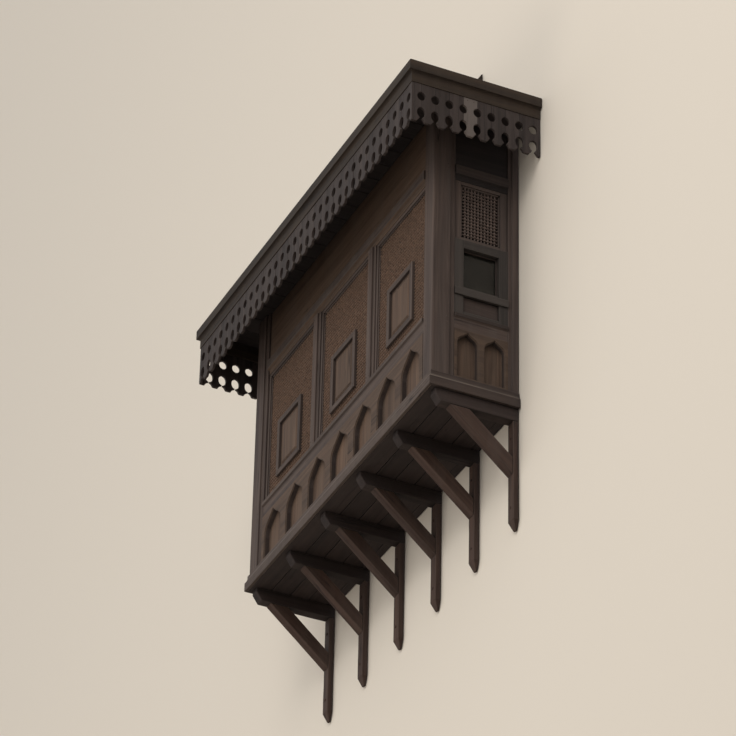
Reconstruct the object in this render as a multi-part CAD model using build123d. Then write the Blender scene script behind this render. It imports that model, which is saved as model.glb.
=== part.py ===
from build123d import *
import math
import os

# A timber oriel of the mashrabiya kind: a shallow box of lattice panels that stands out from a wall,
# carried by raking struts and sheltered by a flat canopy with a pierced fringe.
# Millimetres. The wall is the plane y = 0, the oriel stands out towards -Y, +Z is up, and the origin is
# the middle of the back sill's wall face.

# Box
body_width = 2460
body_depth = 530
back_sill_height = 100
back_sill_depth = 50
floor_thickness = 40
frame_thickness = 60

# Storeys of the box, counted up from its underside
arcade_height = 390
sill_rail_height = 100
bay_height = 910
head_rail_height = 100
frieze_height = 350

# Posts and mullions
post_width = 140
post_depth = 140
step_width = 34
step_recess = 12
post_round = 8
wall_stile_depth = 60
mullion_width = 100
mullion_step_width = 22
mullion_recess = 4
mullion_round = 4
bay_count = 3

# Base moulding round the foot of the box
base_projection = 20
base_height = 100
base_flat_height = 55
base_cove_width = 12
base_cove_height = 30
base_cove_radius = 40

# Blind arcade
arcade_recess = 10
arcade_thickness = 50
front_arch_count = 7
side_arch_count = 2
arch_pier_front = 86
arch_pier_side = 46
arch_foot_margin = 80
arch_head_margin = 20
arch_rise_share = 0.6
arch_pocket_depth = 34
arch_border = 5

# Sill and head rails
nosing_height = 22
nosing_recess = 2
rail_recess = 14
head_groove_height = 36
head_groove_recess = 20
head_band_height = 58
head_band_recess = 2
frieze_recess = 22
rail_cove = 10

# Lattice panels
lattice_recess = 24
lattice_thickness = 30
lattice_border = 30
lattice_bar = 14
lattice_bar_thickness = 18
lattice_columns = 9
lattice_rows = 13
hatch_columns = 5
hatch_rows = 6
hatch_row_up = 1
side_lattice_height = 405
side_lattice_columns = 4
side_lattice_rows = 5

# Hatches of the front bays
hatch_thickness = 38
hatch_border = 34
hatch_pocket = 16
hatch_field_margin = 22
hatch_field_height = 9
hatch_field_slope = 14

# Glazed windows of the sides, each over a sloping sill and a sunk apron
window_recess = 12
window_thickness = 48
window_border = 56
window_bottom_border = 190
window_rebate = 8
window_rebate_depth = 34
pane_thickness = 5
window_sill_level = 125
window_sill_height = 62
window_sill_projection = 10
window_sill_slope = 16
apron_foot_margin = 22
apron_pocket = 14

# Canopy
canopy_overhang = 275
deck_thickness = 40
cornice_height = 140
cornice_board = 24
cornice_crown = 20
crown_height = 68
crown_cove = 14
crown_cove_radius = 16
crown_bevel = 6

# Pierced fringe under the canopy's edge
fringe_height = 262
fringe_thickness = 16
fringe_setback = 4
fringe_pitch = 92
fringe_hole_width = 50
fringe_hole_height = 66
fringe_hole_shoulder = 27
fringe_row_spacing = 115
fringe_upper_row_drop = 88
fringe_notch_width = 46
fringe_notch_depth = 16

# Raking braces from the wall down to the canopy
brace_offset = 735
brace_rise = 700
brace_angle = 58
brace_width = 60
brace_depth = 90

# Brackets under the box
bracket_count = 6
bracket_width = 66
bearer_reach = 505
bearer_depth = 80
bearer_splay = 34
bearer_nose = 28
bracket_post_depth = 35
bracket_post_length = 760
bracket_tip_length = 60
bracket_tip_width = 24
bracket_tip_depth = 12
strut_width = 62
strut_depth = 78
strut_reach = 415
strut_drop = 420

# Places that follow from the sizes above
underside = -back_sill_height / 2
floor_top = underside + floor_thickness
sill_rail_bottom = floor_top + arcade_height
bay_bottom = sill_rail_bottom + sill_rail_height
bay_top = bay_bottom + bay_height
frieze_bottom = bay_top + head_rail_height
soffit = frieze_bottom + frieze_height
deck_top = soffit + deck_thickness
cornice_bottom = deck_top - cornice_height
cornice_thickness = cornice_board + cornice_crown
half_width = body_width / 2
front = -body_depth
front_span = body_width - 2 * post_width
side_span = body_depth - post_depth - wall_stile_depth
bay_width = (front_span - (bay_count - 1) * mullion_width) / bay_count
base_width = body_width + 2 * base_projection
base_depth = body_depth + base_projection
canopy_width = base_width + 2 * canopy_overhang
canopy_depth = base_depth + canopy_overhang
sill_back = front + frame_thickness


def outline(points):
    """Flat face inside straight lines from point to point."""
    return make_face(Polyline(*points, close=True))


def upright(face, bottom, top):
    """Raises a plan outline from one level to another."""
    return extrude(Pos(0, 0, bottom) * face, amount=top - bottom)


def slab(x_low, x_high, y_low, y_high, z_low, z_high):
    """Square-edged timber between three pairs of planes."""
    size = Box(x_high - x_low, y_high - y_low, z_high - z_low)
    return Pos((x_low + x_high) / 2, (y_low + y_high) / 2, (z_low + z_high) / 2) * size


def mirrored(piece):
    """The same piece on the left of the oriel."""
    return mirror(piece, about=Plane.YZ)


def front_plane(out, level, x=0):
    """Plane on the front, seen from outside: x to the right, y up, and the normal out of the wall."""
    return Plane(origin=(x, out, level), x_dir=(1, 0, 0), z_dir=(0, -1, 0))


def side_plane(out, level, y=0):
    """Plane on the right-hand side, seen from outside: x towards the wall, y up, normal to the right."""
    return Plane(origin=(out, y, level), x_dir=(0, 1, 0), z_dir=(1, 0, 0))


def front_run(profile, level, out, x_low, x_high):
    """Runs a section along the front. In the section x is outwards and y is up."""
    start = Plane(origin=(x_high, out, level), x_dir=(0, -1, 0), z_dir=(-1, 0, 0))
    return extrude(start * profile, amount=x_high - x_low)


def side_run(profile, level, out, y_low, y_high):
    """Runs a section along the right-hand side. In the section x is outwards and y is up."""
    start = Plane(origin=(out, y_high, level), x_dir=(1, 0, 0), z_dir=(0, -1, 0))
    return extrude(start * profile, amount=y_high - y_low)


def mitred_ring(profile, level, height, width, depth, thickness):
    """Front, left and right lengths of a moulding, mitred together at the two corners."""
    half = width / 2
    front_plan = outline([
        (-half, -depth),
        (half, -depth),
        (half - thickness, thickness - depth),
        (thickness - half, thickness - depth),
    ])
    side_plan = outline([
        (half, -depth),
        (half, 0),
        (half - thickness, 0),
        (half - thickness, thickness - depth),
    ])
    front_piece = front_run(profile, level, -depth, -half, half)
    front_piece = front_piece & upright(front_plan, level, level + height)
    right_piece = side_run(profile, level, half, -depth, 0)
    right_piece = right_piece & upright(side_plan, level, level + height)
    return front_piece, mirrored(right_piece), right_piece


def pointed_arch(width, height, rise):
    """Two-centred pointed arch that stands on the middle of its foot."""
    half = width / 2
    spring = height - rise
    radius = (half * half + rise * rise) / width
    centre = radius - half
    apex_angle = math.acos(-centre / radius)
    middle = (math.pi + apex_angle) / 2
    middle_x = centre + radius * math.cos(middle)
    middle_y = spring + radius * math.sin(middle)
    left = Line((-half, 0), (-half, spring))
    left_arc = ThreePointArc((-half, spring), (middle_x, middle_y), (0, height))
    right_arc = ThreePointArc((0, height), (-middle_x, middle_y), (half, spring))
    right = Line((half, spring), (half, 0))
    foot = Line((half, 0), (-half, 0))
    return make_face([left, left_arc, right_arc, right, foot])


def arcade_board(plane, span, arch_count, pier):
    """Board with a row of blind pointed arches sunk into its face."""
    blank = plane * Pos(0, arcade_height / 2) * Rectangle(span, arcade_height)
    board = extrude(blank, amount=-arcade_thickness)
    pitch = span / arch_count
    arch_width = pitch - pier
    arch_height = arcade_height - arch_foot_margin - arch_head_margin
    rise = arch_width * arch_rise_share
    for index in range(arch_count):
        centre = (index + 0.5) * pitch - span / 2
        place = plane * Pos(centre, arch_foot_margin)
        board -= extrude(place * pointed_arch(arch_width, arch_height, rise), amount=-arch_pocket_depth)
        rim_width = arch_width + 2 * arch_border
        rim_height = arch_height + arch_border
        rim_rise = rise + arch_border
        rim = place * pointed_arch(rim_width, rim_height, rim_rise)
        board -= extrude(rim, amount=-arch_border)
    return board


def lattice_sheet(width, height, columns, rows, border):
    """Flat lattice inside a border, with its lower left corner at the origin."""
    open_width = width - 2 * border
    open_height = height - 2 * border
    column_pitch = open_width / columns
    row_pitch = open_height / rows
    sheet = Pos(width / 2, height / 2) * (Rectangle(width, height) - Rectangle(open_width, open_height))
    for index in range(1, columns):
        x = border + index * column_pitch
        sheet += Pos(x, height / 2) * Rectangle(lattice_bar, open_height)
    for index in range(1, rows):
        y = border + index * row_pitch
        sheet += Pos(width / 2, y) * Rectangle(open_width, lattice_bar)
    return sheet


def lattice_panel(plane, width, height, columns, rows, gap=None):
    """Lattice in its frame, the bars thinner than the frame, and an opening left for a hatch."""
    frame_face = Rectangle(width, height) - Rectangle(width - 2 * lattice_border, height - 2 * lattice_border)
    frame_face = Pos(width / 2, height / 2) * frame_face
    bars = lattice_sheet(width, height, columns, rows, lattice_border)
    bar_inset = (lattice_thickness - lattice_bar_thickness) / 2
    if gap is not None:
        left, low, gap_width, gap_height = gap
        hole = Pos(left + gap_width / 2, low + gap_height / 2) * Rectangle(gap_width, gap_height)
        bars = bars - hole
    panel = extrude(plane * frame_face, amount=-lattice_thickness)
    panel += extrude(plane * Pos(0, 0, -bar_inset) * bars, amount=-lattice_bar_thickness)
    return panel


def hatch_leaf(plane, width, height):
    """Small shutter: a frame round a sunk panel with a raised field."""
    leaf = extrude(plane * Pos(width / 2, height / 2) * Rectangle(width, height), amount=-hatch_thickness)
    inner_width = width - 2 * hatch_border
    inner_height = height - 2 * hatch_border
    middle = plane * Pos(width / 2, height / 2)
    leaf -= extrude(middle * Rectangle(inner_width, inner_height), amount=-hatch_pocket)
    field_width = inner_width - 2 * hatch_field_margin
    field_height = inner_height - 2 * hatch_field_margin
    foot = middle * Pos(0, 0, -hatch_pocket) * Rectangle(field_width, field_height)
    slope = math.degrees(math.atan(hatch_field_slope / hatch_field_height))
    leaf += extrude(foot, amount=hatch_field_height, taper=slope)
    return leaf


def fringe_board(plane, length):
    """Row of narrow boards hung from the cornice, sawn so that each joint has two holes and a notch."""
    joint_count = round(length / fringe_pitch)
    pitch = length / joint_count
    face = Pos(0, -fringe_height / 2) * Rectangle(length, fringe_height)
    hole = outline([
        (0, fringe_hole_height / 2),
        (-fringe_hole_width / 2, fringe_hole_shoulder / 2),
        (-fringe_hole_width / 2, -fringe_hole_shoulder / 2),
        (0, -fringe_hole_height / 2),
        (fringe_hole_width / 2, -fringe_hole_shoulder / 2),
        (fringe_hole_width / 2, fringe_hole_shoulder / 2),
    ])
    rows_middle = -fringe_upper_row_drop - fringe_row_spacing / 2
    holes = GridLocations(pitch, fringe_row_spacing, joint_count, 2)
    face -= [Pos(0, rows_middle) * place * hole for place in holes]
    notch = outline([
        (-fringe_notch_width / 2, -fringe_height),
        (0, fringe_notch_depth - fringe_height),
        (fringe_notch_width / 2, -fringe_height),
    ])
    face -= [place * notch for place in GridLocations(pitch, 0, joint_count, 1)]
    return extrude(plane * face, amount=-fringe_thickness)


parts = {}

# Back sill, the ledger that is bolted to the wall, and the floor that it carries
parts["back_sill"] = slab(-half_width, half_width, -back_sill_depth, 0, underside, -underside)
parts["floor"] = slab(-half_width, half_width, front, -back_sill_depth, underside, floor_top)

# Corner posts: an angle of two legs, each stepped back beside the panels
corner_outline = outline([
    (half_width - post_width, sill_back),
    (half_width - post_width, front + step_recess),
    (half_width - post_width + step_width, front + step_recess),
    (half_width - post_width + step_width, front),
    (half_width, front),
    (half_width, front + post_depth - step_width),
    (half_width - step_recess, front + post_depth - step_width),
    (half_width - step_recess, front + post_depth),
    (half_width - frame_thickness, front + post_depth),
    (half_width - frame_thickness, sill_back),
])
outer_corner = corner_outline.vertices().sort_by(lambda corner: corner.X - corner.Y)[-1]
corner_post = upright(fillet(outer_corner, post_round), floor_top, soffit)
parts["corner_post_right"] = corner_post
parts["corner_post_left"] = mirrored(corner_post)

# Wall stiles, which stand on the back sill against the wall
stile_outline = outline([
    (half_width - frame_thickness, -wall_stile_depth),
    (half_width - step_recess, -wall_stile_depth),
    (half_width - step_recess, mullion_step_width - wall_stile_depth),
    (half_width, mullion_step_width - wall_stile_depth),
    (half_width, 0),
    (half_width - frame_thickness, 0),
])
stile_lower = slab(
    half_width - frame_thickness, half_width,
    -wall_stile_depth, -back_sill_depth,
    floor_top, -underside,
)
wall_stile = upright(stile_outline, -underside, soffit)
parts["wall_stile_right"] = wall_stile + stile_lower
parts["wall_stile_left"] = mirrored(wall_stile + stile_lower)

# Mullions between the front bays, stepped back on both edges
mullion_half = mullion_width / 2
mullion_face = front + mullion_recess
mullion_step = mullion_face + step_recess
mullion_nose = mullion_half - mullion_step_width
mullion_outline = outline([
    (-mullion_half, sill_back),
    (-mullion_half, mullion_step),
    (-mullion_nose, mullion_step),
    (-mullion_nose, mullion_face),
    (mullion_nose, mullion_face),
    (mullion_nose, mullion_step),
    (mullion_half, mullion_step),
    (mullion_half, sill_back),
])
mullion_arrises = mullion_outline.vertices().sort_by(Axis.Y)[:2]
mullion = upright(fillet(mullion_arrises, mullion_round), bay_bottom, bay_top)
mullion_pitch = bay_width + mullion_width
parts["mullion_left"] = Pos(-mullion_pitch / 2, 0, 0) * mullion
parts["mullion_right"] = Pos(mullion_pitch / 2, 0, 0) * mullion

# Base moulding: a flat band under a hollow, planted round the foot of the box
base_line = Polyline(
    (-base_cove_width, base_flat_height + base_cove_height),
    (-base_cove_width, base_height),
    (-base_projection, base_height),
    (-base_projection, 0),
    (0, 0),
    (0, base_flat_height),
)
base_cove = RadiusArc(
    (-base_cove_width, base_flat_height + base_cove_height), (0, base_flat_height), -base_cove_radius
)
base_profile = make_face([*base_line.edges(), base_cove])
base_ring = mitred_ring(base_profile, underside, base_height, base_width, base_depth, base_projection)
parts["base_moulding_front"], parts["base_moulding_left"], parts["base_moulding_right"] = base_ring

# Blind arcade below the bays
arcade_front_plane = front_plane(front + arcade_recess, floor_top)
parts["arcade_front"] = arcade_board(arcade_front_plane, front_span, front_arch_count, arch_pier_front)
side_middle = -(wall_stile_depth + side_span / 2)
arcade_side_plane = side_plane(half_width - arcade_recess, floor_top, side_middle)
arcade_side = arcade_board(arcade_side_plane, side_span, side_arch_count, arch_pier_side)
parts["arcade_right"] = arcade_side
parts["arcade_left"] = mirrored(arcade_side)

# Sill rail: a plain rail with a nosing along its top
sill_profile = outline([
    (-frame_thickness, 0),
    (-rail_recess, 0),
    (-rail_recess, sill_rail_height - nosing_height - rail_cove),
    (-nosing_recess, sill_rail_height - nosing_height),
    (-nosing_recess, sill_rail_height),
    (-frame_thickness, sill_rail_height),
])
sill_side = side_run(sill_profile, sill_rail_bottom, half_width, front + post_depth, -wall_stile_depth)
parts["sill_rail_front"] = front_run(sill_profile, sill_rail_bottom, front, -front_span / 2, front_span / 2)
parts["sill_rail_right"] = sill_side
parts["sill_rail_left"] = mirrored(sill_side)

# Head rail and frieze: a board with a raised band over a groove along its foot
head_height = head_rail_height + frieze_height
head_profile = outline([
    (-frame_thickness, 0),
    (-head_groove_recess, 0),
    (-head_groove_recess, head_groove_height - rail_cove),
    (-head_band_recess, head_groove_height),
    (-head_band_recess, head_groove_height + head_band_height),
    (-frieze_recess, head_rail_height),
    (-frieze_recess, head_height),
    (-frame_thickness, head_height),
])
head_side = side_run(head_profile, bay_top, half_width, front + post_depth, -wall_stile_depth)
parts["frieze_front"] = front_run(head_profile, bay_top, front, -front_span / 2, front_span / 2)
parts["frieze_right"] = head_side
parts["frieze_left"] = mirrored(head_side)

# Lattice panels of the front bays, each with a hatch in its lower half
lattice_column_pitch = (bay_width - 2 * lattice_border) / lattice_columns
lattice_row_pitch = (bay_height - 2 * lattice_border) / lattice_rows
hatch_width = hatch_columns * lattice_column_pitch
hatch_height = hatch_rows * lattice_row_pitch
hatch_left = lattice_border + (lattice_columns - hatch_columns) / 2 * lattice_column_pitch
hatch_low = lattice_border + hatch_row_up * lattice_row_pitch
hatch_gap = (hatch_left, hatch_low, hatch_width, hatch_height)
lattice_face = front + lattice_recess
hatch_face = lattice_face - (hatch_thickness - lattice_thickness)
for index, side in enumerate(("left", "middle", "right")):
    bay_left = index * mullion_pitch - front_span / 2
    bay_plane = front_plane(lattice_face, bay_bottom, bay_left)
    parts["lattice_front_" + side] = lattice_panel(
        bay_plane, bay_width, bay_height, lattice_columns, lattice_rows, hatch_gap
    )
    hatch_plane = front_plane(hatch_face, bay_bottom + hatch_low, bay_left + hatch_left)
    parts["hatch_" + side] = hatch_leaf(hatch_plane, hatch_width, hatch_height)

# Side bays: a small glazed window below a lattice panel
side_low = front + post_depth
window_height = bay_height - side_lattice_height
window_face = half_width - window_recess
window_plane = side_plane(window_face, bay_bottom, side_low)
window_blank = Pos(side_span / 2, window_height / 2) * Rectangle(side_span, window_height)
window_open_width = side_span - 2 * window_border
window_open_height = window_height - window_border - window_bottom_border
window_centre = Pos(side_span / 2, window_bottom_border + window_open_height / 2)
window_opening = window_centre * Rectangle(window_open_width, window_open_height)
pane_width = window_open_width + 2 * window_rebate
pane_height = window_open_height + 2 * window_rebate
pane_face = window_centre * Rectangle(pane_width, pane_height)
rebate_plane = window_plane * Pos(0, 0, -window_rebate_depth)
window_frame = extrude(window_plane * (window_blank - window_opening), amount=-window_thickness)
window_frame -= extrude(rebate_plane * pane_face, amount=window_rebate_depth - window_thickness)
apron_height = window_sill_level - apron_foot_margin
apron_face = Pos(side_span / 2, apron_foot_margin + apron_height / 2) * Rectangle(window_open_width, apron_height)
window_frame -= extrude(window_plane * apron_face, amount=-apron_pocket)
window_sill_profile = outline([
    (-apron_pocket, 0),
    (window_sill_projection, 0),
    (window_sill_projection, window_sill_height - window_sill_slope),
    (-apron_pocket, window_sill_height),
])
window_sill_bottom = bay_bottom + window_sill_level
window_frame += side_run(
    window_sill_profile, window_sill_bottom, window_face, side_low, -wall_stile_depth
)
window_pane = extrude(rebate_plane * pane_face, amount=-pane_thickness)
parts["window_right"] = window_frame
parts["window_left"] = mirrored(window_frame)
parts["pane_right"] = window_pane
parts["pane_left"] = mirrored(window_pane)
side_lattice_plane = side_plane(half_width - lattice_recess, bay_bottom + window_height, side_low)
side_lattice = lattice_panel(
    side_lattice_plane, side_span, side_lattice_height, side_lattice_columns, side_lattice_rows
)
parts["lattice_right"] = side_lattice
parts["lattice_left"] = mirrored(side_lattice)

# Canopy deck, which rests on the box, and the cornice round its edge
deck_half = canopy_width / 2 - cornice_thickness
parts["canopy_deck"] = slab(-deck_half, deck_half, cornice_thickness - canopy_depth, 0, soffit, deck_top)
crown_bottom = cornice_height - crown_height
cornice_line = Polyline(
    (-crown_bevel, crown_bottom),
    (0, crown_bottom),
    (0, cornice_height - crown_bevel),
    (-crown_bevel, cornice_height),
    (-cornice_thickness, cornice_height),
    (-cornice_thickness, 0),
    (-cornice_crown, 0),
    (-cornice_crown, crown_bottom - crown_cove),
)
cornice_cove = RadiusArc(
    (-cornice_crown, crown_bottom - crown_cove), (-crown_bevel, crown_bottom), crown_cove_radius
)
cornice_profile = make_face([*cornice_line.edges(), cornice_cove])
cornice_ring = mitred_ring(
    cornice_profile, cornice_bottom, cornice_height, canopy_width, canopy_depth, cornice_thickness
)
parts["cornice_front"], parts["cornice_left"], parts["cornice_right"] = cornice_ring

# Pierced fringe, hung under the cornice board; the side boards stop behind the front one
fringe_out = canopy_width / 2 - cornice_crown - fringe_setback
fringe_front_y = cornice_crown + fringe_setback - canopy_depth
fringe_front_plane = front_plane(fringe_front_y, cornice_bottom)
parts["fringe_front"] = fringe_board(fringe_front_plane, 2 * fringe_out)
fringe_side_length = -fringe_front_y - fringe_thickness
fringe_side_plane = side_plane(fringe_out, cornice_bottom, -fringe_side_length / 2)
fringe_side = fringe_board(fringe_side_plane, fringe_side_length)
parts["fringe_right"] = fringe_side
parts["fringe_left"] = mirrored(fringe_side)

# Raking braces, cut plumb against the wall and level on the deck
brace_slope = math.radians(brace_angle)
brace_run = brace_rise / math.tan(brace_slope)
brace_outline = outline([
    (0, deck_top + brace_rise),
    (-brace_run, deck_top),
    (brace_depth / math.sin(brace_slope) - brace_run, deck_top),
    (0, deck_top + brace_rise - brace_depth / math.cos(brace_slope)),
])
for side, sign in (("left", -1), ("right", 1)):
    brace_start = Plane(origin=(sign * brace_offset, 0, 0), x_dir=(0, 1, 0), z_dir=(1, 0, 0))
    parts["roof_brace_" + side] = extrude(brace_start * brace_outline, amount=brace_width / 2, both=True)

# Brackets: a level bearer under the floor, a post below it against the wall with a shaped tip, and a raking
# strut between the two
bearer_bottom = underside - bearer_depth
bearer_outline = outline([
    (0, underside),
    (-bearer_reach, underside),
    (-bearer_reach, underside - bearer_nose),
    (bearer_splay - bearer_reach, bearer_bottom),
    (0, bearer_bottom),
])
tip_top = underside + bracket_tip_length - bracket_post_length
tip_bottom = underside - bracket_post_length
post_side_outline = outline([
    (0, bearer_bottom),
    (-bracket_post_depth, bearer_bottom),
    (-bracket_post_depth, tip_top),
    (-bracket_tip_depth, tip_bottom),
    (0, tip_bottom),
])
post_front_outline = outline([
    (-bracket_width / 2, bearer_bottom),
    (bracket_width / 2, bearer_bottom),
    (bracket_width / 2, tip_top),
    (bracket_tip_width / 2, tip_bottom),
    (-bracket_tip_width / 2, tip_bottom),
    (-bracket_width / 2, tip_top),
])
strut_angle = math.atan2(strut_drop - bearer_depth, strut_reach - bracket_post_depth)
strut_outline = outline([
    (-strut_reach, bearer_bottom),
    (-bracket_post_depth, underside - strut_drop),
    (-bracket_post_depth, underside - strut_drop + strut_depth / math.cos(strut_angle)),
    (strut_depth / math.sin(strut_angle) - strut_reach, bearer_bottom),
])
section_plane = Plane(origin=(0, 0, 0), x_dir=(0, 1, 0), z_dir=(1, 0, 0))
wall_plane = front_plane(0, 0)
bracket_bearer = extrude(section_plane * bearer_outline, amount=bracket_width / 2, both=True)
bracket_post = extrude(section_plane * post_side_outline, amount=bracket_width / 2, both=True)
bracket_post = bracket_post & extrude(wall_plane * post_front_outline, amount=bracket_post_depth)
bracket_strut = extrude(section_plane * strut_outline, amount=strut_width / 2, both=True)
bracket_span = body_width - bracket_width
for index in range(bracket_count):
    x = index * bracket_span / (bracket_count - 1) - bracket_span / 2
    parts["bracket_bearer_" + str(index + 1)] = Pos(x, 0, 0) * bracket_bearer
    parts["bracket_post_" + str(index + 1)] = Pos(x, 0, 0) * bracket_post
    parts["bracket_strut_" + str(index + 1)] = Pos(x, 0, 0) * bracket_strut

os.makedirs("parts", exist_ok=True)
for name, piece in parts.items():
    export_step(piece, "parts/" + name + ".step")
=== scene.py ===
import math
import random

import bmesh
import bpy
from mathutils import Matrix, Vector, noise


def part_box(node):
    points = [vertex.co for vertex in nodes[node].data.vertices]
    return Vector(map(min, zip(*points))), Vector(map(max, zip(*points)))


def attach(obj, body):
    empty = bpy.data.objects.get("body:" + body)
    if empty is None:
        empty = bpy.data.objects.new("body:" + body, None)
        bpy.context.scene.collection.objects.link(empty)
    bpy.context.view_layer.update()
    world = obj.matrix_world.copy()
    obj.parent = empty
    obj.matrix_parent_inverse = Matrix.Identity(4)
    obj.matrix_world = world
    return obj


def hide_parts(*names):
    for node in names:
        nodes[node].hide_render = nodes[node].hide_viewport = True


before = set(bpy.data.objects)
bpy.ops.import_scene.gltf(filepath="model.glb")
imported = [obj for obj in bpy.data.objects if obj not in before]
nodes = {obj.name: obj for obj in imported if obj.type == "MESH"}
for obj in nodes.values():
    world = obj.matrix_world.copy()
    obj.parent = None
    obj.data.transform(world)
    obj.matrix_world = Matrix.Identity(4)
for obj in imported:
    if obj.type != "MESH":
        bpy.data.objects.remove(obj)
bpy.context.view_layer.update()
print("frame loaded,", len(nodes), "nodes")

sides = ("left", "right")
thirds = ("left", "middle", "right")
skyward = Vector((0, 0, 1))
postLow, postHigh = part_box("corner_post_right")
halfWidth, frontFace, soffit = postHigh.x, postLow.y, postHigh.z


# Node trees

class Wire:  # a socket of a node tree, with the sums that can be written on it
    def __init__(self, tree, socket=None):
        self.tree = tree
        self.socket = socket

    def node(self, kind, settings=None, inputs=None):
        made = self.tree.nodes.new(kind)
        for key, value in (settings or {}).items():
            setattr(made, key, value)
        for key, value in (inputs or {}).items():
            for each in value if isinstance(value, list) else [value]:
                if isinstance(each, Wire):
                    self.tree.links.new(each.socket, made.inputs[key])
                else:
                    made.inputs[key].default_value = each
        return Wire(self.tree, made.outputs[0] if len(made.outputs) else None)

    def out(self, key):
        return Wire(self.tree, self.socket.node.outputs[key])

    def sum(self, operation, first, second=0.0, clamp=False):
        return self.node("ShaderNodeMath", {"operation": operation, "use_clamp": clamp}, {0: first, 1: second})

    def __add__(self, other):
        return self.sum("ADD", self, other)

    def __radd__(self, other):
        return self.sum("ADD", other, self)

    def __sub__(self, other):
        return self.sum("SUBTRACT", self, other)

    def __rsub__(self, other):
        return self.sum("SUBTRACT", other, self)

    def __mul__(self, other):
        return self.sum("MULTIPLY", self, other)

    def __rmul__(self, other):
        return self.sum("MULTIPLY", other, self)

    def __truediv__(self, other):
        return self.sum("DIVIDE", self, other)

    def __gt__(self, other):
        return self.sum("GREATER_THAN", self, other)

    def __lt__(self, other):
        return self.sum("LESS_THAN", self, other)

    def size(self):
        return self.sum("ABSOLUTE", self)

    def wave(self):
        return self.sum("COSINE", self)

    def within(self, low, high):  # 0 below low, 1 above high
        return self.sum("MULTIPLY", self - low, 1 / (high - low), clamp=True)

    def vector(self, x=0.0, y=0.0, z=0.0):
        return self.node("ShaderNodeCombineXYZ", None, {0: x, 1: y, 2: z})

    def part(self, axis):
        return self.node("ShaderNodeSeparateXYZ", None, {0: self}).out(axis)

    def scaled(self, x, y, z):
        return self.node("ShaderNodeMapping", None, {"Vector": self, "Scale": (x, y, z)})


def cleared(owner):  # the empty node tree of a material or of the world
    owner.use_nodes = True
    owner.node_tree.nodes.clear()
    return Wire(owner.node_tree)


def mixed(low, high, share):
    ends = {0: share}
    for index, colour in ((6, low), (7, high)):
        ends[index] = colour if isinstance(colour, Wire) else (*colour, 1.0)
    return share.node("ShaderNodeMix", {"data_type": "RGBA"}, ends).out(2)


def noiseOn(place, scale, detail=3.0, roughness=0.55, distortion=0.0):
    return place.node("ShaderNodeTexNoise", None, {
        "Vector": place, "Scale": scale, "Detail": detail, "Roughness": roughness, "Distortion": distortion,
    })


def newFinish(name):  # a material, and the place on a piece that its pattern follows
    material = bpy.data.materials.new(name)
    return material, cleared(material).node("ShaderNodeTexCoord").out("Object")


def bumped(height, strength, depth):
    return height.node("ShaderNodeBump", None, {"Strength": strength, "Distance": depth, "Height": height})


def surfaced(place, values):  # ends a material with its surface
    surface = place.node("ShaderNodeBsdfPrincipled", None, values)
    surface.node("ShaderNodeOutputMaterial", None, {"Surface": surface})


# Wood, one material for each finish and each way that the grain runs

finishes = {
    "frame": {"dark": (0.039, 0.025, 0.020), "light": (0.105, 0.071, 0.055), "grey": (0.088, 0.067, 0.056)},
    "panel": {"dark": (0.052, 0.030, 0.019), "light": (0.136, 0.082, 0.052), "grey": (0.104, 0.072, 0.051)},
    "turned": {"dark": (0.072, 0.038, 0.023), "light": (0.166, 0.094, 0.058), "grey": (0.138, 0.092, 0.063)},
    "shaded": {"dark": (0.064, 0.042, 0.033), "light": (0.144, 0.098, 0.078), "grey": (0.120, 0.092, 0.077)},
    "fringe": {"dark": (0.020, 0.013, 0.011), "light": (0.052, 0.036, 0.030), "grey": (0.067, 0.051, 0.044)},
    "canopy": {"dark": (0.015, 0.009, 0.006), "light": (0.043, 0.026, 0.015), "grey": (0.045, 0.031, 0.020)},
    "moulding": {"dark": (0.040, 0.026, 0.020), "light": (0.095, 0.066, 0.052), "grey": (0.095, 0.072, 0.058)},
    "casement": {"dark": (0.022, 0.017, 0.014), "light": (0.056, 0.043, 0.035), "grey": (0.053, 0.044, 0.037)},
    # a darker copy of the moulding finish: painted shade on the side base mouldings, the side bands and the
    # arch reveals; it also colours the sunk window apron
    "apron": {"dark": (0.024, 0.015, 0.012), "light": (0.065, 0.043, 0.033), "grey": (0.055, 0.040, 0.033)},
    "bracket": {"dark": (0.030, 0.015, 0.010), "light": (0.084, 0.046, 0.031), "grey": (0.080, 0.053, 0.040)},
    "boards": {"dark": (0.016, 0.010, 0.008), "light": (0.040, 0.025, 0.020), "grey": (0.038, 0.027, 0.023)},
    # a very dark finish, painted shade under the canopy, for the side friezes and the canopy deck
    "eaves": {"dark": (0.012, 0.008, 0.007), "light": (0.032, 0.022, 0.019), "grey": (0.030, 0.023, 0.020)},
}
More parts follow.
